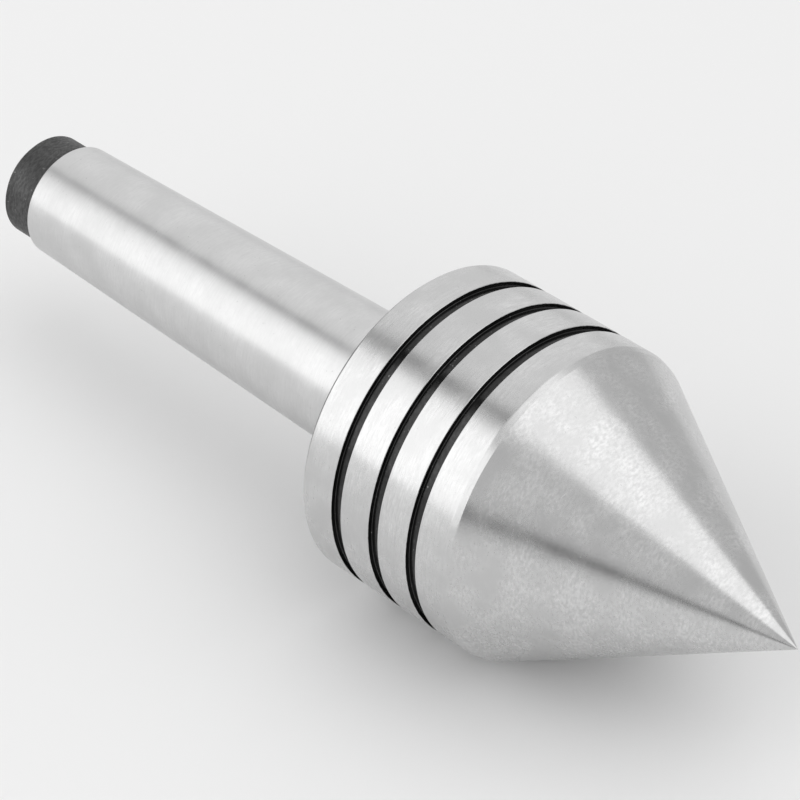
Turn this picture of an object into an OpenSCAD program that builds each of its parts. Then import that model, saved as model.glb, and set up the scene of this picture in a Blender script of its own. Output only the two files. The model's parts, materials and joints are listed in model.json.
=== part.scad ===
// Live (revolving) centre for a lathe tailstock: a Morse taper 2 shank whose spindle
// carries a one-piece 60 degree bull-nose head on a deep-groove ball bearing, a thrust
// ball bearing and a drawn-cup needle bearing.
// The spin axis is +X, towards the point. The origin is the centre of the taper's gauge
// plane. Every part is turned about +Z first and then laid along +X by along_x().

/* [Morse taper shank] */
// Diameter at the gauge plane
gauge_d = 17.78; // [17.7:0.01:17.9]
// Change of diameter for each millimetre of length
taper_rate = 0.04995; // [0.0498:0.00005:0.0502]
// Length from the gauge plane to the tail end
shank_l = 64; // [60:0.5:66]
// Length from the gauge plane to the rear face of the head
face_x = 5; // [4.5:0.5:6]
// Diameter of the unground relief at the tail
tail_d = 13.5; // [12:0.1:13.6]
// Length of the unground relief at the tail
tail_l = 5.3; // [4:0.1:8]

/* [Head] */
// Outer diameter of the head
head_d = 40; // [39:0.5:42]
// Length of the cylindrical part of the head
barrel_l = 23; // [23:0.5:26]
// Included angle of the cone
cone_angle = 60; // [58:1:61]
// Width of each groove
groove_w = 1.5; // [1:0.1:1.6]
// Depth of each groove
groove_depth = 0.6; // [0.3:0.1:1]
// Number of grooves
groove_count = 3; // [1:1:3]
// Width of the lands in front of and between the grooves
land_w = 4.5; // [4:0.1:4.5]
// Chamfer at the rear rim
rear_chamfer = 0.5; // [0.4:0.1:1]
// Radius of the broken edge between cylinder and cone
nose_blend_r = 2.5; // [0.1:0.1:4]

/* [Rear ball bearing, 15 x 32 x 9] */
// Bore
radial_bore = 15; // [15:0.1:15.2]
// Outside diameter
radial_od = 32; // [31.8:0.1:32.4]
// Width
radial_w = 9; // [8.8:0.1:9.4]
// Number of balls
radial_balls = 9; // [7:1:9]

/* [Thrust ball bearing, 12 x 26 x 9] */
// Bore of the shaft washer
thrust_bore = 12; // [12:0.1:12.2]
// Outside diameter of both washers
thrust_od = 26; // [25.8:0.1:26.2]
// Height of the whole bearing
thrust_h = 9; // [8.8:0.1:9.2]
// Number of balls
thrust_balls = 11; // [8:1:11]

/* [Needle bearing, 10 x 14 x 10] */
// Diameter of the spindle journal that the needles run on
needle_journal_d = 10; // [9.9:0.05:10.1]
// Outside diameter of the drawn cup
needle_od = 14; // [14:0.1:14.2]
// Length of the drawn cup
needle_w = 10; // [9:0.5:10]
// Number of needles
needle_count = 14; // [10:1:14]

/* [Hidden] */
$fn = 96;

ball_d = 4.762;           // both ball bearings use 3/16 inch balls
ball_r = ball_d / 2;
race_gap = 0.03;          // running clearance between a rolling element and its race
race_r = 0.52 * ball_d;   // raceway groove radius
cut = 1;                  // how far a cutter runs past the face that it cuts

// Stations along the axis, measured forwards from the rear face of the head
nut_recess = 0.3;
nut_front = 3.5;
radial_front = nut_front + radial_w;
radial_mid = nut_front + radial_w / 2;
circlip_t = 1;
circlip_groove_w = 1.1;
thrust_rear = radial_front + 2;
thrust_mid = thrust_rear + thrust_h / 2;
thrust_front = thrust_rear + thrust_h;
needle_rear = thrust_front + 1;
needle_front = needle_rear + needle_w;
spindle_front = needle_front + 2;
bore_front = spindle_front + 1.5;
cone_l = head_d / 2 / tan(cone_angle / 2);

// Shank and spindle radii
collar_r = 9.7;
circlip_groove_r = 7.15;
tail_chamfer = 0.7;
taper_end_chamfer = 0.5;
spindle_chamfer = 0.5;

// Rear ball bearing
radial_pitch_r = (radial_bore + radial_od) / 4;
inner_shoulder_r = 10.25;
outer_shoulder_r = 13.3;
shield_seat_r = 14.1;
shield_seat_depth = 0.8;
shield_t = 0.3;
ring_chamfer = 0.3;

// Ribbon cage of the rear ball bearing
cage_sheet = 0.4;
cage_pocket_r = ball_r + 0.08;
cage_inner_r = 10.8;
cage_outer_r = 12.7;
rivet_d = 0.9;
rivet_head_d = 1.5;
rivet_head_h = 0.25;

// Thrust bearing
thrust_pitch_r = (thrust_bore + thrust_od) / 4;
washer_t = 2.9;
thrust_cage_t = 1.8;
thrust_cage_inner_r = 6.6;
thrust_cage_outer_r = 12.4;
thrust_pocket_r = ball_r + 0.07;

// Needle bearing
cup_wall = 0.5;
needle_race_r = needle_od / 2 - cup_wall;
needle_r = (needle_race_r - needle_journal_d / 2) / 2 - race_gap;
needle_pitch_r = (needle_race_r + needle_journal_d / 2) / 2;
needle_l = needle_w - 2.4;
cup_lip_r = 5.4;
needle_cage_inner_r = 5.45;
needle_cage_outer_r = 6.15;
needle_pocket_gap = 0.05;

// Ring nut and seal at the rear of the head
nut_od = 34;
nut_bore = 20;
nut_relief_depth = 0.5;
seal_od = 25;
seal_w = 2;
seal_gap = 0.05;
seal_rear = 0.9;
spanner_hole_d = 3;
spanner_hole_depth = 2;
spanner_hole_r = 14.7;

function taper_r(x) = (gauge_d + x * taper_rate) / 2;

module along_x(shift = face_x) {
    translate([shift, 0, 0]) rotate([0, 90, 0]) children();
}

module ring(r_in, r_out, z0, z1) {
    rotate_extrude() translate([r_in, z0]) square([r_out - r_in, z1 - z0]);
}

// Circle whose edge stands race_gap clear of a ball, on the side that `away` points to
module race_circle(pitch_r, mid_z, away) {
    shift = ball_r + race_gap - race_r;
    translate([pitch_r + away[0] * shift, mid_z + away[1] * shift]) circle(race_r);
}

module place_balls(count, pitch_r, mid_z) {
    for (i = [0 : count - 1])
        rotate([0, 0, i * 360 / count]) translate([pitch_r, 0, mid_z]) children();
}

// Centre-drilled hole with a 60 degree seat, opening towards -Z at z = 0
module centre_hole(pilot_d, seat_d, pilot_depth) {
    seat_depth = (seat_d - pilot_d) / 2 / tan(30);
    rotate_extrude() polygon([
        [0, -cut], [seat_d / 2, -cut], [seat_d / 2, 0], [pilot_d / 2, seat_depth],
        [pilot_d / 2, pilot_depth], [0, pilot_depth + pilot_d * 0.3]]);
}

module shank() {
    journal_r = radial_bore / 2;
    step_r = thrust_bore / 2;
    nose_r = needle_journal_d / 2;
    tail_r = tail_d / 2;
    taper_end_x = tail_l - shank_l;
    taper_end_r = taper_r(taper_end_x);
    color("silver") along_x() difference() {
        rotate_extrude() polygon([
            [0, -shank_l - face_x],
            [tail_r - tail_chamfer, -shank_l - face_x],
            [tail_r, -shank_l - face_x + tail_chamfer],
            [tail_r, taper_end_x - face_x],
            [taper_end_r - taper_end_chamfer, taper_end_x - face_x],
            [taper_end_r, taper_end_x - face_x + taper_end_chamfer],
            [taper_r(face_x), 0],
            [collar_r, 0],
            [collar_r, nut_front],
            [journal_r, nut_front],
            [journal_r, radial_front],
            [circlip_groove_r, radial_front],
            [circlip_groove_r, radial_front + circlip_groove_w],
            [journal_r, radial_front + circlip_groove_w],
            [journal_r, thrust_rear],
            [step_r, thrust_rear],
            [step_r, thrust_front],
            [nose_r, thrust_front],
            [nose_r, spindle_front - spindle_chamfer],
            [nose_r - spindle_chamfer, spindle_front],
            [0, spindle_front]]);
        translate([0, 0, -shank_l - face_x]) centre_hole(3.15, 6.7, 6);
        translate([0, 0, spindle_front]) mirror([0, 0, 1]) centre_hole(2, 4.25, 4);
    }
}

module rear_bearing_inner_ring() {
    color("gainsboro") along_x() rotate_extrude() difference() {
        polygon([
            [radial_bore / 2, nut_front],
            [inner_shoulder_r - ring_chamfer, nut_front],
            [inner_shoulder_r, nut_front + ring_chamfer],
            [inner_shoulder_r, radial_front - ring_chamfer],
            [inner_shoulder_r - ring_chamfer, radial_front],
            [radial_bore / 2, radial_front]]);
        race_circle(radial_pitch_r, radial_mid, [1, 0]);
    }
}

module rear_bearing_outer_ring() {
    outer_r = radial_od / 2;
    color("gainsboro") along_x() rotate_extrude() difference() {
        polygon([
            [shield_seat_r, nut_front],
            [outer_r - ring_chamfer, nut_front],
            [outer_r, nut_front + ring_chamfer],
            [outer_r, radial_front - ring_chamfer],
            [outer_r - ring_chamfer, radial_front],
            [shield_seat_r, radial_front],
            [shield_seat_r, radial_front - shield_seat_depth],
            [outer_shoulder_r, radial_front - shield_seat_depth],
            [outer_shoulder_r, nut_front + shield_seat_depth],
            [shield_seat_r, nut_front + shield_seat_depth]]);
        race_circle(radial_pitch_r, radial_mid, [-1, 0]);
    }
}

module bearing_shield(z0) {
    color("lightgray") along_x() ring(inner_shoulder_r + 0.2, shield_seat_r, z0, z0 + shield_t);
}

module rear_shield() {
    bearing_shield(nut_front + shield_seat_depth - shield_t);
}

module front_shield() {
    bearing_shield(radial_front - shield_seat_depth);
}

module rear_bearing_balls() {
    color("white") along_x() place_balls(radial_balls, radial_pitch_r, radial_mid) sphere(ball_r);
}

// One half of the riveted ribbon cage. side is -1 for the rear half and 1 for the front one.
module ribbon_half(side) {
    reach = cage_pocket_r + cage_sheet + cut;
    color("darkgray") along_x() difference() {
        intersection() {
            ring(cage_inner_r, cage_outer_r, side < 0 ? radial_mid - reach : radial_mid,
                 side < 0 ? radial_mid : radial_mid + reach);
            union() {
                ring(cage_inner_r - cut, cage_outer_r + cut, radial_mid - cage_sheet,
                     radial_mid + cage_sheet);
                ribbon_pockets(cage_pocket_r + cage_sheet, cage_outer_r);
            }
        }
        ribbon_pockets(cage_pocket_r, cage_outer_r + cut);
        for (i = [0 : radial_balls - 1])
            rotate([0, 0, (i + 0.5) * 360 / radial_balls])
                translate([radial_pitch_r, 0, radial_mid])
                    cylinder(d = rivet_d, h = 4 * cage_sheet, center = true, $fn = 32);
    }
}

// Round bars along the radii through the ball centres
module ribbon_pockets(r, far_r) {
    for (i = [0 : radial_balls - 1])
        rotate([0, 0, i * 360 / radial_balls])
            translate([cage_inner_r - 2 * cut, 0, radial_mid]) rotate([0, 90, 0])
                cylinder(r = r, h = far_r - cage_inner_r + 3 * cut);
}

module rear_cage_half() {
    ribbon_half(-1);
}

module front_cage_half() {
    ribbon_half(1);
}

module cage_rivets() {
    color("gray") along_x()
        for (i = [0 : radial_balls - 1])
            rotate([0, 0, (i + 0.5) * 360 / radial_balls])
                translate([radial_pitch_r, 0, radial_mid]) union() {
                    cylinder(d = rivet_d, h = 2 * cage_sheet, center = true, $fn = 32);
                    for (side = [-1, 1])
                        translate([0, 0, side * (cage_sheet + rivet_head_h / 2)])
                            cylinder(d = rivet_head_d, h = rivet_head_h, center = true, $fn = 32);
                }
}

// Open retaining ring with two plier ears
module spindle_circlip() {
    rim_r = circlip_groove_r + 2.1;
    ear_r = 1.5;
    ear_angle = 15;
    gap_w = 2.4;
    color("dimgray") along_x() translate([0, 0, radial_front]) difference() {
        union() {
            cylinder(r = rim_r, h = circlip_t);
            for (side = [-1, 1])
                rotate([0, 0, side * ear_angle]) translate([rim_r, 0, 0]) cylinder(r = ear_r, h = circlip_t);
        }
        translate([0, 0, -cut]) cylinder(r = circlip_groove_r, h = circlip_t + 2 * cut);
        translate([0, -gap_w / 2, -cut]) cube([head_d / 2, gap_w, circlip_t + 2 * cut]);
        for (side = [-1, 1])
            rotate([0, 0, side * ear_angle]) translate([rim_r, 0, -cut])
                cylinder(d = 1.5, h = circlip_t + 2 * cut, $fn = 32);
    }
}

module thrust_shaft_washer() {
    color("gainsboro") along_x() rotate_extrude() difference() {
        translate([thrust_bore / 2, thrust_rear]) square([(thrust_od - thrust_bore) / 2, washer_t]);
        race_circle(thrust_pitch_r, thrust_mid, [0, 1]);
    }
}

module thrust_housing_washer() {
    washer_bore_r = thrust_bore / 2 + 0.5;
    color("gainsboro") along_x() rotate_extrude() difference() {
        translate([washer_bore_r, thrust_front - washer_t])
            square([thrust_od / 2 - washer_bore_r, washer_t]);
        race_circle(thrust_pitch_r, thrust_mid, [0, -1]);
    }
}

module thrust_balls() {
    color("white") along_x() place_balls(thrust_balls, thrust_pitch_r, thrust_mid) sphere(ball_r);
}

module thrust_cage() {
    color("goldenrod") along_x() difference() {
        ring(thrust_cage_inner_r, thrust_cage_outer_r, thrust_mid - thrust_cage_t / 2,
             thrust_mid + thrust_cage_t / 2);
        place_balls(thrust_balls, thrust_pitch_r, thrust_mid) sphere(thrust_pocket_r);
    }
}

module needle_cup() {
    color("lightgray") along_x() rotate_extrude() polygon([
        [cup_lip_r, needle_rear], [needle_od / 2, needle_rear],
        [needle_od / 2, needle_front], [cup_lip_r, needle_front],
        [cup_lip_r, needle_front - cup_wall], [needle_race_r, needle_front - cup_wall],
        [needle_race_r, needle_rear + cup_wall], [cup_lip_r, needle_rear + cup_wall]]);
}

module needles() {
    color("white") along_x()
        for (i = [0 : needle_count - 1])
            rotate([0, 0, i * 360 / needle_count])
                translate([needle_pitch_r, 0, (needle_rear + needle_front - needle_l) / 2])
                    cylinder(r = needle_r, h = needle_l, $fn = 32);
}

module needle_cage() {
    cage_l = needle_l + 1;
    mid_z = (needle_rear + needle_front) / 2;
    color("darkgray") along_x() difference() {
        ring(needle_cage_inner_r, needle_cage_outer_r, mid_z - cage_l / 2, mid_z + cage_l / 2);
        for (i = [0 : needle_count - 1])
            rotate([0, 0, i * 360 / needle_count]) translate([needle_pitch_r, 0, mid_z])
                cylinder(r = needle_r + needle_pocket_gap, h = needle_l + 2 * needle_pocket_gap,
                         center = true, $fn = 32);
    }
}

// Outline of the head from its axis outwards, with the grooves and the blended nose corner
module head_outline() {
    head_r = head_d / 2;
    half_turn = cone_angle / 4;
    reach = nose_blend_r * tan(half_turn);
    blend_mid_z = barrel_l - reach;
    difference() {
        polygon([
            [0, 0], [head_r - rear_chamfer, 0], [head_r, rear_chamfer],
            [head_r, barrel_l], [0, barrel_l + cone_l]]);
        for (i = [0 : groove_count - 1])
            groove_outline(barrel_l - (i + 1) * (land_w + groove_w));
        difference() {
            polygon([
                [head_r - nose_blend_r, blend_mid_z],
                [head_r + cut, blend_mid_z],
                [head_r + cut, barrel_l],
                [head_r, barrel_l],
                [head_r - reach * sin(cone_angle / 2), barrel_l + reach * cos(cone_angle / 2)]]);
            translate([head_r - nose_blend_r, blend_mid_z]) circle(nose_blend_r);
        }
    }
}

// Square groove with broken edges whose rear wall is at z
module groove_outline(z) {
    head_r = head_d / 2;
    edge = 0.1;
    polygon([
        [head_r - groove_depth, z], [head_r - edge, z], [head_r, z - edge],
        [head_r + cut, z - edge], [head_r + cut, z + groove_w + edge],
        [head_r, z + groove_w + edge], [head_r - edge, z + groove_w],
        [head_r - groove_depth, z + groove_w]]);
}

module head_bore() {
    mouth_chamfer = 0.4;
    spindle_end_r = needle_journal_d / 2 + 0.6;
    seat_start = thrust_front - washer_t - 0.4;
    drill_half_angle = 59;
    polygon([
        [0, -cut], [nut_od / 2 + mouth_chamfer, -cut], [nut_od / 2 + mouth_chamfer, 0],
        [nut_od / 2, mouth_chamfer], [nut_od / 2, nut_front],
        [radial_od / 2, nut_front], [radial_od / 2, radial_front],
        [thrust_od / 2 + 0.5, radial_front], [thrust_od / 2 + 0.5, seat_start],
        [thrust_od / 2, seat_start], [thrust_od / 2, thrust_front],
        [needle_od / 2, thrust_front], [needle_od / 2, needle_front + 0.5],
        [spindle_end_r, needle_front + 0.5], [spindle_end_r, bore_front],
        [0, bore_front + spindle_end_r / tan(drill_half_angle)]]);
}

module nose_head() {
    color("silver") along_x() rotate_extrude() difference() {
        head_outline();
        head_bore();
    }
}

module rear_ring_nut() {
    edge = 0.3;
    color("dimgray") along_x() difference() {
        rotate_extrude() difference() {
            polygon([
                [nut_bore / 2, nut_recess], [nut_od / 2 - edge, nut_recess],
                [nut_od / 2, nut_recess + edge], [nut_od / 2, nut_front],
                [outer_shoulder_r, nut_front], [outer_shoulder_r, nut_front - nut_relief_depth],
                [nut_bore / 2, nut_front - nut_relief_depth]]);
            translate([nut_bore / 2 - cut, seal_rear]) square([seal_od / 2 - nut_bore / 2 + cut, seal_w]);
        }
        for (side = [-1, 1])
            translate([0, side * spanner_hole_r, nut_recess - cut])
                cylinder(d = spanner_hole_d, h = spanner_hole_depth + cut, $fn = 48);
    }
}

module felt_seal() {
    color("darkolivegreen") along_x() ring(collar_r + seal_gap, seal_od / 2, seal_rear, seal_rear + seal_w);
}

shank();
rear_bearing_inner_ring();
spindle_circlip();
thrust_shaft_washer();
nose_head();
rear_ring_nut();
felt_seal();
rear_bearing_outer_ring();
rear_shield();
front_shield();
thrust_housing_washer();
needle_cup();
rear_bearing_balls();
rear_cage_half();
front_cage_half();
cage_rivets();
thrust_balls();
thrust_cage();
needles();
needle_cage();
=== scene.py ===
"""Live (revolving) centre: Morse taper shank and a bull-nose head that turns on it.

The spin axis is +X, towards the point, and the origin is the taper's gauge plane.
Lengths are in metres; MM turns a figure in millimetres into metres.
"""
import json
import math

import bpy
from mathutils import Matrix, Quaternion, Vector


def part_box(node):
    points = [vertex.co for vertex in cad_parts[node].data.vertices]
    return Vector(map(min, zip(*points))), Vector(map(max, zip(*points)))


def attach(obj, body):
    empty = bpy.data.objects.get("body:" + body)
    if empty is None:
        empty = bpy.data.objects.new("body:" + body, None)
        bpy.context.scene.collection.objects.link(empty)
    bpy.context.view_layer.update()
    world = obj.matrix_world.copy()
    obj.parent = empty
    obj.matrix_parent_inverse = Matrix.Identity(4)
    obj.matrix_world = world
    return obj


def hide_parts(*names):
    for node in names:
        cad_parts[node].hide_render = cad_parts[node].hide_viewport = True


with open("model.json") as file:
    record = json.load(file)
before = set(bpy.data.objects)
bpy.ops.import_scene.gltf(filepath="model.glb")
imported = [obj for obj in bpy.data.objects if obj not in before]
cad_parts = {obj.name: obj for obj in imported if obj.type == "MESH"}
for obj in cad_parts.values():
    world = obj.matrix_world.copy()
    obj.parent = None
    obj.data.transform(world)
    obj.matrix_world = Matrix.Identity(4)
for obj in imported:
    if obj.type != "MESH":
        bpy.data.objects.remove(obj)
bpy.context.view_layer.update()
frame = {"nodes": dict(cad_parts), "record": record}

MM = 0.001
AROUND = 256  # facets round each turned piece

# ---------------------------------------------------------------- sizes, from the frame

HEAD_LOW, HEAD_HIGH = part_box("nose_head")
SHANK_LOW, SHANK_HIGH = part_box("shank")
NUT_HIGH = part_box("rear_ring_nut")[1]
BEARING_LOW, BEARING_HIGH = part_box("rear_bearing_outer_ring")
THRUST_LOW, THRUST_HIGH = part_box("thrust_housing_washer")
SHAFT_WASHER_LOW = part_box("thrust_shaft_washer")[0]
CUP_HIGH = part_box("needle_cup")[1]

HEAD_R = HEAD_HIGH.y
FACE_X = HEAD_LOW.x
TIP_X = HEAD_HIGH.x
TAIL_X = SHANK_LOW.x
SPINDLE_END_X = SHANK_HIGH.x
COLLAR_R = SHANK_HIGH.y

CONE_HALF_ANGLE = math.radians(30)
CONE_X = TIP_X - HEAD_R / math.tan(CONE_HALF_ANGLE)  # where the cylinder meets the cone
GROOVE_W = 1.5 * MM
GROOVE_DEPTH = 0.6 * MM
GROOVE_PITCH = 6.0 * MM
GROOVE_COUNT = 3
REAR_CHAMFER = 0.5 * MM
FACET_BACK, FACET_FRONT = 0.4 * MM, 0.43 * MM  # worn corner, behind and ahead of CONE_X

GAUGE_R = 8.89 * MM
TAPER_SLOPE = 0.04995 / 2
TAIL_R = 6.75 * MM
TAIL_CHAMFER = 0.7 * MM
TAIL_HOLE_R, TAIL_MOUTH_R = 1.575 * MM, 3.35 * MM
TAPER_END_X = TAIL_X + 5.3 * MM
TAPER_CHAMFER = 0.5 * MM

JOURNAL_R, STEP_R, NOSE_R = 7.5 * MM, 6.0 * MM, 5.0 * MM  # spindle, from the rear forwards
CLIP_GROOVE_W, CLIP_GROOVE_DEPTH = 1.1 * MM, 0.35 * MM
SPINDLE_HOLE_R, SPINDLE_MOUTH_R = 1.0 * MM, 2.125 * MM
DRILL_R = 5.6 * MM  # the head's bore ahead of the needle cup


def taper_r(x):
    return GAUGE_R + x * TAPER_SLOPE


# ---------------------------------------------------------------- turned shapes

def left_of(direction):
    return Vector((-direction.y, direction.x))


def turned_corner(before, corner, after, radius, steps):
    """Points and normals of an arc that rounds one corner of an outline."""
    here = Vector(corner)
    come = (here - Vector(before)).normalized()
    leave = (Vector(after) - here).normalized()
    turn = math.atan2(come.x * leave.y - come.y * leave.x, come.dot(leave))
    way = math.copysign(1, turn)
    start = here - come * radius * math.tan(abs(turn) / 2)
    centre = start + left_of(come) * radius * way
    for k in range(steps + 1):
        normal = Matrix.Rotation(turn * k / steps, 2) @ left_of(come)
        yield centre - normal * radius * way, normal


def outline(corners, steps=4):
    """Points and normals of an outline from axis to axis, or of a closed one off the axis.

    corners are (x, r, rounding radius), with the outside on the left of the way they run.
    A point on the axis has a normal along it.
    """
    rows = []
    count = len(corners)
    for i, (x, r, radius) in enumerate(corners):
        if r == 0:
            rows.append((Vector((x, 0)), Vector((1, 0))))
            continue
        before, after = corners[i - 1], corners[(i + 1) % count]
        rows += turned_corner(before[:2], (x, r), after[:2], radius, steps)
    return rows


def turned(name, rows, body, slot, replaces=()):
    """A solid of revolution about X, with the exact normals of its outline."""
    verts, normals, rings = [], [], []
    for point, normal in rows:
        if point.y == 0:
            rings.append([len(verts)])
            verts.append((point.x, 0, 0))
            normals.append((normal.x, 0, 0))
            continue
        rings.append(range(len(verts), len(verts) + AROUND))
        for k in range(AROUND):
            c, s = math.cos(math.tau * k / AROUND), math.sin(math.tau * k / AROUND)
            verts.append((point.x, point.y * c, point.y * s))
            normals.append((normal.x, normal.y * c, normal.y * s))
    closed = len(rings[0]) > 1
    faces = []
    for here, there in zip(rings, rings[1:] + rings[:1] if closed else rings[1:]):
        for k in range(AROUND):
            n = (k + 1) % AROUND
            if len(here) == 1:
                faces.append((here[0], there[n], there[k]))
            elif len(there) == 1:
                faces.append((here[k], here[n], there[0]))
            else:
                faces.append((here[k], here[n], there[n], there[k]))
    mesh = bpy.data.meshes.new(name)
    mesh.from_pydata(verts, [], faces)
    mesh.polygons.foreach_set("use_smooth", [True] * len(mesh.polygons))
    mesh.normals_split_custom_set_from_vertices(normals)
    piece = bpy.data.objects.new(name, mesh)
    bpy.context.scene.collection.objects.link(piece)
    mesh.materials.append(MATERIALS[slot])
    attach(piece, body)
    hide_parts(*replaces)
    return piece


def head_outline():
    fine = 0.1 * MM  # broken edge of a groove
    tip_r = 0.05 * MM
    inner = 0.2 * MM
    face = FACE_X
    bore = [
        (CUP_HIGH.x + 7.0 * MM, 0, 0),
        (CUP_HIGH.x + 3.5 * MM, DRILL_R, inner),
        (CUP_HIGH.x + 0.5 * MM, DRILL_R, inner),
        (CUP_HIGH.x + 0.5 * MM, CUP_HIGH.y, inner),
        (THRUST_HIGH.x, CUP_HIGH.y, inner),
        (THRUST_HIGH.x, THRUST_HIGH.y, inner),
        (THRUST_LOW.x - 0.4 * MM, THRUST_HIGH.y, inner),
        (THRUST_LOW.x - 0.4 * MM, THRUST_HIGH.y + 0.5 * MM, inner),
        (BEARING_HIGH.x, THRUST_HIGH.y + 0.5 * MM, inner),
        (BEARING_HIGH.x, BEARING_HIGH.y, inner),
        (BEARING_LOW.x, BEARING_HIGH.y, inner),
        (BEARING_LOW.x, NUT_HIGH.y, inner),
        (face + 0.4 * MM, NUT_HIGH.y, 0.1 * MM),
        (face, NUT_HIGH.y + 0.4 * MM, 0.1 * MM),
    ]
    outside = [
        (face, HEAD_R - REAR_CHAMFER, 0.1 * MM),
        (face + REAR_CHAMFER, HEAD_R, 0.1 * MM),
    ]
    floor_r = HEAD_R - GROOVE_DEPTH
    for i in reversed(range(GROOVE_COUNT)):
        rear = CONE_X - (i + 1) * GROOVE_PITCH
        front = rear + GROOVE_W
        outside += [(rear, HEAD_R, fine), (rear, floor_r, 0.12 * MM),
                    (front, floor_r, 0.12 * MM), (front, HEAD_R, fine)]
    facet_end = CONE_X + FACET_FRONT
    facet_end_r = (TIP_X - facet_end) * math.tan(CONE_HALF_ANGLE)
    outside += [(CONE_X - FACET_BACK, HEAD_R, 1.0 * MM), (facet_end, facet_end_r, 0.1 * MM)]
    rows = outline(bore + outside + [(TIP_X, 0, 0)])[:-1]
    cap_x = TIP_X - tip_r / math.sin(CONE_HALF_ANGLE)
    steps = 6
    for k in range(steps + 1):
        angle = (math.pi / 2 - CONE_HALF_ANGLE) * (1 - k / steps)
        normal = Vector((math.cos(angle), math.sin(angle)))
        point = Vector((cap_x + normal.x * tip_r, normal.y * tip_r if k < steps else 0))
        rows.append((point, normal))
    return rows


def shank_outline():
    inner = 0.15 * MM
    collar_end = BEARING_LOW.x
    step_x = SHAFT_WASHER_LOW.x
    clip_x = BEARING_HIGH.x
    clip_r = JOURNAL_R - CLIP_GROOVE_DEPTH
    taper_end_r = taper_r(TAPER_END_X)
    return outline([
        (TAIL_X + 6.95 * MM, 0, 0),
        (TAIL_X + 6.0 * MM, TAIL_HOLE_R, inner),
        (TAIL_X + 3.07 * MM, TAIL_HOLE_R, inner),
        (TAIL_X, TAIL_MOUTH_R, 0.1 * MM),
        (TAIL_X, TAIL_R - TAIL_CHAMFER, 0.15 * MM),
        (TAIL_X + TAIL_CHAMFER, TAIL_R, 0.15 * MM),
        (TAPER_END_X, TAIL_R, 0.2 * MM),
        (TAPER_END_X, taper_end_r - TAPER_CHAMFER, 0.1 * MM),
        (TAPER_END_X + TAPER_CHAMFER, taper_end_r, 0.1 * MM),
        (FACE_X, taper_r(FACE_X), 0.1 * MM),
        (FACE_X, COLLAR_R, 0.15 * MM),
        (collar_end, COLLAR_R, 0.15 * MM),
        (collar_end, JOURNAL_R, 0.1 * MM),
        (clip_x, JOURNAL_R, 0.1 * MM),
        (clip_x, clip_r, 0.05 * MM),
        (clip_x + CLIP_GROOVE_W, clip_r, 0.05 * MM),
        (clip_x + CLIP_GROOVE_W, JOURNAL_R, 0.1 * MM),
        (step_x, JOURNAL_R, 0.15 * MM),
        (step_x, STEP_R, 0.1 * MM),
        (THRUST_HIGH.x, STEP_R, 0.15 * MM),
        (THRUST_HIGH.x, NOSE_R, 0.1 * MM),
        (SPINDLE_END_X - 0.5 * MM, NOSE_R, 0.15 * MM),
        (SPINDLE_END_X, NOSE_R - 0.5 * MM, 0.15 * MM),
        (SPINDLE_END_X, SPINDLE_MOUTH_R, 0.1 * MM),
        (SPINDLE_END_X - 1.95 * MM, SPINDLE_HOLE_R, 0.1 * MM),
        (SPINDLE_END_X - 4.0 * MM, SPINDLE_HOLE_R, 0.1 * MM),
        (SPINDLE_END_X - 4.6 * MM, 0, 0),
    ])


# ---------------------------------------------------------------- materials

class Nodes:
    """Short calls for building one node material."""

    def __init__(self, name):
        self.material = bpy.data.materials.new(name)
        self.material.use_nodes = True
        self.tree = self.material.node_tree
        self.shader = self.tree.nodes["Principled BSDF"]

    def add(self, kind, **settings):
        node = self.tree.nodes.new(kind)
        for key, value in settings.items():
            setattr(node, key, value)
        return node

    def plug(self, value, socket):
        if isinstance(value, bpy.types.NodeSocket):
            self.tree.links.new(value, socket)
        else:
            socket.default_value = value

    def maths(self, operation, *values):
        node = self.add("ShaderNodeMath", operation=operation)
        for value, socket in zip(values, node.inputs):
            self.plug(value, socket)
        return node.outputs[0]

    def noise(self, vector, scale, detail=3.0, roughness=0.55):
        node = self.add("ShaderNodeTexNoise")
        self.plug(vector, node.inputs["Vector"])
        node.inputs["Scale"].default_value = scale
        node.inputs["Detail"].default_value = detail
        node.inputs["Roughness"].default_value = roughness
        return node.outputs["Fac"]

    def span(self, value, low, high, to_low=0.0, to_high=1.0, smooth=False):
        node = self.add("ShaderNodeMapRange", clamp=True)
        if smooth:
            node.interpolation_type = "SMOOTHSTEP"
        for socket, number in zip(node.inputs[:5], (value, low, high, to_low, to_high)):
            self.plug(number, socket)
        return node.outputs[0]

    def blend(self, fac, a, b):
        node = self.add("ShaderNodeMix", data_type="RGBA")
        self.plug(fac, node.inputs[0])
        self.plug(a, node.inputs[6])
        self.plug(b, node.inputs[7])
        return node.outputs[2]

    def blend_value(self, fac, a, b):
        node = self.add("ShaderNodeMix", data_type="FLOAT")
        self.plug(fac, node.inputs[0])
        self.plug(a, node.inputs[2])
        self.plug(b, node.inputs[3])
        return node.outputs[0]

    def bump(self, height, strength, distance):
        node = self.add("ShaderNodeBump")
        node.inputs["Strength"].default_value = strength
        node.inputs["Distance"].default_value = distance
        self.plug(height, node.inputs["Height"])
        return node.outputs["Normal"]

    def places(self):
        """Object place, distance along the axis, and distance from it."""
        place = self.add("ShaderNodeTexCoord").outputs["Object"]
        split = self.add("ShaderNodeSeparateXYZ")
        self.plug(place, split.inputs[0])
        x, y, z = split.outputs
        squares = self.maths("ADD", self.maths("MULTIPLY", y, y), self.maths("MULTIPLY", z, z))
        return place, x, self.maths("SQRT", squares)

    def stretched(self, place, along, across):
        """Place scaled so that noise is fine along the axis and drawn out round it."""
        node = self.add("ShaderNodeVectorMath", operation="MULTIPLY")
        self.plug(place, node.inputs[0])
        node.inputs[1].default_value = (along, across, across)
        return node.outputs[0]


def grey(level):
    return (level, level, level, 1.0)


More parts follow.
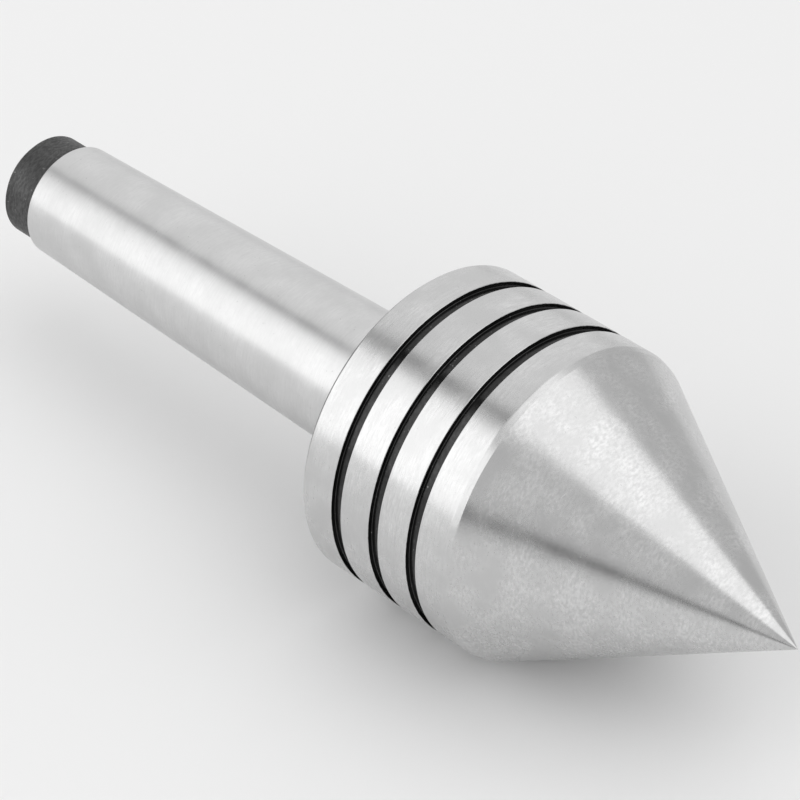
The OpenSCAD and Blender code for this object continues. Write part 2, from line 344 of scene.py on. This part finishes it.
def shade(level, tint):
    return tuple(level * t for t in tint) + (1.0,)


def steel(name, level, roughness, grain=1.0, anisotropy=0.5, dark_mask=None, black=None,
          blotch_from=None, cloudy=0.07, tint=(1.0, 1.0, 1.0)):
    """Ground or turned steel with grain running round the axis.

    dark_mask marks what is black, and black is that part's level and roughness. Forward of
    blotch_from the grain is blotchy, not streaky. cloudy is how dark its soft patches get.
    """
    n = Nodes(name)
    place, x, radius = n.places()
    streaks = n.noise(n.stretched(place, 5200.0, 420.0), 1.0, 2.0)
    blotches = n.noise(n.stretched(place, 3600.0, 1700.0), 1.0, 2.0)
    cloud = n.noise(place, 230.0, 3.0, 0.5)
    pits = n.noise(place, 2600.0, 1.0)
    fleck = n.maths("ADD", n.maths("MULTIPLY", streaks, 0.6), n.maths("MULTIPLY", blotches, 0.4))
    if blotch_from is not None:
        fleck = n.blend_value(n.span(x, blotch_from, blotch_from + 0.5 * MM), fleck, blotches)
    patches = n.span(cloud, 0.35, 0.65)
    colour = n.blend(patches, shade(level * (1 - cloudy), tint), shade(level * (1 + cloudy / 2), tint))
    colour = n.blend(n.span(fleck, 0.35, 0.65, 0.0, grain), colour, shade(level * 0.86, tint))
    colour = n.blend(n.span(pits, 0.74, 0.80, 0.0, 0.4), colour, shade(level * 0.5, tint))
    rough = n.maths("ADD", n.span(fleck, 0.3, 0.7, roughness * 0.95, roughness * 1.05),
                    n.span(cloud, 0.3, 0.7, -0.02, 0.02))
    metal = 1.0
    if dark_mask is not None:
        dark_level, dark_rough = black
        mask = dark_mask(n, x, radius, blotches)
        # the black of the grooves and the tail; on the head's rear chamfer it is also painted shade
        black_and_rim_shade = n.blend(n.span(cloud, 0.35, 0.65), grey(dark_level * 0.8), grey(dark_level * 1.2))
        black_and_rim_shade = n.blend(n.span(blotches, 0.35, 0.65, 0.0, 0.6), black_and_rim_shade, grey(dark_level * 0.5))
        black_and_rim_shade = n.blend(n.span(pits, 0.70, 0.78, 0.0, 0.6), black_and_rim_shade, grey(0.25))
        colour = n.blend(mask, colour, black_and_rim_shade)
        rough = n.blend_value(mask, rough, n.span(blotches, 0.3, 0.7, dark_rough * 0.85, dark_rough * 1.15))
        metal = n.blend_value(mask, 1.0, 0.9)
    n.plug(colour, n.shader.inputs["Base Color"])
    n.plug(metal, n.shader.inputs["Metallic"])
    n.plug(rough, n.shader.inputs["Roughness"])
    n.shader.inputs["Anisotropic"].default_value = anisotropy
    n.shader.inputs["Anisotropic Rotation"].default_value = 0.25
    tangent = n.add("ShaderNodeTangent", direction_type="RADIAL", axis="X")
    n.plug(tangent.outputs[0], n.shader.inputs["Tangent"])
    grain_height = 0.006 * grain * MM
    n.plug(n.bump(fleck, 1.0, grain_height), n.shader.inputs["Normal"])
    return n.material


def groove_mask(n, x, radius, ragged):
    """Black in the grooves, on the rear chamfer and behind it, with a slightly ragged edge. The black on
    the rear chamfer is part black edge and part painted shade where the head's rim meets the shank.
    """
    raggedness, fade, bright_lip, land_end = 0.03 * MM, 0.02 * MM, 0.045 * MM, 2.0 * MM
    wander = n.span(ragged, 0.2, 0.8, -raggedness, raggedness)
    depth = n.maths("SUBTRACT", HEAD_R - bright_lip, n.maths("ADD", radius, wander))
    behind_cone = n.maths("LESS_THAN", x, CONE_X - land_end)
    groove = n.maths("MULTIPLY", n.span(depth, 0.0, fade), behind_cone)
    # painted shade: blackening the rear chamfer and the face behind it also draws the dark line where the
    # head's rim meets the shank
    rim_end = FACE_X + REAR_CHAMFER
    rim_black_and_shade = n.span(n.maths("ADD", x, wander), rim_end, rim_end - fade)
    return n.maths("MAXIMUM", groove, rim_black_and_shade)


def tail_mask(n, x, radius, ragged):
    """Black on the unground tail, with a slightly wandering border."""
    raggedness = 0.05 * MM
    border = n.maths("ADD", x, n.span(ragged, 0.2, 0.8, -raggedness, raggedness))
    return n.span(border, TAPER_END_X + 0.12 * MM, TAPER_END_X + 0.04 * MM)


def black_oxide():
    n = Nodes("black_oxide")
    place, x, radius = n.places()
    speckle = n.noise(place, 4200.0, 4.0, 0.65)
    cloud = n.noise(place, 300.0, 4.0, 0.6)
    rings = n.noise(n.maths("MULTIPLY", radius, 9000.0), 1.0, 2.0)
    n.plug(n.blend(n.span(cloud, 0.35, 0.65), grey(0.020), grey(0.042)), n.shader.inputs["Base Color"])
    n.shader.inputs["Metallic"].default_value = 0.45
    n.plug(n.span(speckle, 0.3, 0.7, 0.30, 0.44), n.shader.inputs["Roughness"])
    n.plug(n.bump(n.maths("ADD", speckle, rings), 0.3, 0.006 * MM), n.shader.inputs["Normal"])
    return n.material


def felt():
    n = Nodes("felt")
    place, x, radius = n.places()
    fibres = n.noise(place, 2600.0, 6.0, 0.75)
    patches = n.noise(place, 400.0, 3.0)
    colour = n.blend(n.span(patches, 0.3, 0.7), (0.10, 0.09, 0.075, 1), (0.2, 0.185, 0.15, 1))
    colour = n.blend(n.span(fibres, 0.45, 0.75), colour, (0.33, 0.31, 0.26, 1))
    n.plug(colour, n.shader.inputs["Base Color"])
    n.shader.inputs["Roughness"].default_value = 0.9
    n.shader.inputs["Sheen Weight"].default_value = 0.3
    n.plug(n.bump(fibres, 0.8, 0.05 * MM), n.shader.inputs["Normal"])
    return n.material


def make_materials():
    return {
        "ground_steel": steel("ground_steel", 0.67, 0.33, dark_mask=tail_mask, black=(0.095, 0.5),
                              grain=0.5),
        "turned_steel": steel("turned_steel", 0.655, 0.27, dark_mask=groove_mask, black=(0.045, 0.17),
                              blotch_from=CONE_X, cloudy=0.14),
        "bearing_steel": steel("bearing_steel", 0.60, 0.14, grain=0.3),
        "polished_steel": steel("polished_steel", 0.68, 0.07, grain=0.1, anisotropy=0.0),
        "pressed_steel": steel("pressed_steel", 0.5, 0.28),
        "spring_steel": steel("spring_steel", 0.13, 0.35),
        "cage_brass": steel("cage_brass", 0.8, 0.22, tint=(1.0, 0.76, 0.36)),
        "black_oxide": black_oxide(),
        "felt": felt(),
    }


MATERIALS = make_materials()


# ---------------------------------------------------------------- pieces

turned("head_shell", head_outline(), "head_body", "turned_steel", ["nose_head"])
turned("taper_shank", shank_outline(), "shank_body", "ground_steel", ["shank"])

for part in frame["record"]["subparts"]:
    node = frame["nodes"][part["node"]]
    node.data.materials.clear()
    node.data.materials.append(MATERIALS[part["material_slot"]])


# ---------------------------------------------------------------- floor and light

def make_floor():
    n = Nodes("floor")
    n.shader.inputs["Base Color"].default_value = grey(0.86)
    n.shader.inputs["Roughness"].default_value = 0.7
    n.shader.inputs["Specular IOR Level"].default_value = 0.15
    mesh = bpy.data.meshes.new("floor")
    rim_black_and_shade = 96
    radius = 1.2
    verts = [(0, 0, 0)]
    for k in range(rim_black_and_shade):
        angle = math.tau * k / rim_black_and_shade
        verts.append((radius * math.cos(angle), radius * math.sin(angle), 0))
    mesh.from_pydata(verts, [], [(0, 1 + k, 1 + (k + 1) % rim_black_and_shade) for k in range(rim_black_and_shade)])
    mesh.materials.append(n.material)
    floor = bpy.data.objects.new("floor", mesh)
    floor.location.z = -HEAD_R
    bpy.context.scene.collection.objects.link(floor)


def direction(azimuth, elevation):
    """Unit vector towards that side: azimuth 0 is -Y and 90 is +X."""
    a, e = math.radians(azimuth), math.radians(elevation)
    return Vector((math.sin(a) * math.cos(e), -math.cos(a) * math.cos(e), math.sin(e)))


def softbox(name, azimuth, elevation, distance, half_width, half_height, radiance):
    """A rectangular lamp of even radiance that faces the object. Its half sizes are angles."""
    width = 2 * distance * math.tan(math.radians(half_width))
    height = 2 * distance * math.tan(math.radians(half_height))
    lamp = bpy.data.lights.new(name, "AREA")
    lamp.shape = "RECTANGLE"
    lamp.size, lamp.size_y = width, height
    lamp.energy = radiance * math.pi * width * height
    piece = bpy.data.objects.new(name, lamp)
    towards = direction(azimuth, elevation)
    piece.location = towards * distance
    piece.rotation_mode = "QUATERNION"
    piece.rotation_quaternion = towards.to_track_quat("Z", "Y")
    piece.visible_camera = False
    bpy.context.scene.collection.objects.link(piece)


def flag(name, azimuth, elevation, distance, half_width, half_height, lean=0):
    """A black card that puts a dark line into the reflections. The camera doesn't see it."""
    n = Nodes(name)
    n.shader.inputs["Base Color"].default_value = grey(0.02)
    n.shader.inputs["Roughness"].default_value = 0.9
    across = distance * math.tan(math.radians(half_width))
    up = distance * math.tan(math.radians(half_height))
    mesh = bpy.data.meshes.new(name)
    corners = [(-across, -up, 0), (across, -up, 0), (across, up, 0), (-across, up, 0)]
    mesh.from_pydata(corners, [], [(0, 1, 2, 3)])
    mesh.materials.append(n.material)
    card = bpy.data.objects.new(name, mesh)
    towards = direction(azimuth, elevation)
    card.location = towards * distance
    card.rotation_mode = "QUATERNION"
    turn = Quaternion((0, 0, 1), math.radians(lean))
    card.rotation_quaternion = towards.to_track_quat("Z", "Y") @ turn
    card.visible_camera = False
    bpy.context.scene.collection.objects.link(card)


def make_light():
    """Lamps and cards, placed and set so that light falls on the metal as in the photograph."""
    softbox("key_left", azimuth=-23, elevation=29, distance=0.9, half_width=31, half_height=27,
            radiance=1.0)
    softbox("back_left", azimuth=-124, elevation=35, distance=1.0, half_width=31, half_height=33,
            radiance=0.28)
    softbox("overhead", azimuth=114, elevation=69, distance=0.95, half_width=27, half_height=27,
            radiance=0.74)
    flag("gap_flag", azimuth=-73, elevation=52, distance=0.8, half_width=3, half_height=9, lean=-39)
    flag("horizon_flag", azimuth=28, elevation=9, distance=0.8, half_width=22, half_height=3.6)
    world = bpy.data.worlds.new("studio")
    world.use_nodes = True
    world.node_tree.nodes["Background"].inputs["Color"].default_value = grey(1.0)
    world.node_tree.nodes["Background"].inputs["Strength"].default_value = 0.68
    bpy.context.scene.world = world


# ---------------------------------------------------------------- camera

# The view that makes the model's outline fit the photograph's.
CAMERA_AZIMUTH = 45.49
CAMERA_ELEVATION = 37.38
CAMERA_DISTANCE = 0.4555
CAMERA_AIM = Vector((1.89, -1.03, 1.63)) * MM
FOCAL_LENGTH = 174.81
SENSOR = 36.0


def make_camera():
    lens = bpy.data.cameras.new("camera")
    lens.lens = FOCAL_LENGTH
    lens.sensor_width = SENSOR
    lens.clip_start, lens.clip_end = 0.01, 10.0
    camera = bpy.data.objects.new("camera", lens)
    back = direction(CAMERA_AZIMUTH, CAMERA_ELEVATION)
    camera.location = CAMERA_AIM + back * CAMERA_DISTANCE
    camera.rotation_mode = "QUATERNION"
    camera.rotation_quaternion = (-back).to_track_quat("-Z", "Y")
    bpy.context.scene.collection.objects.link(camera)
    bpy.context.scene.camera = camera


make_floor()
make_light()
make_camera()
bpy.context.scene.view_settings.view_transform = "Standard"
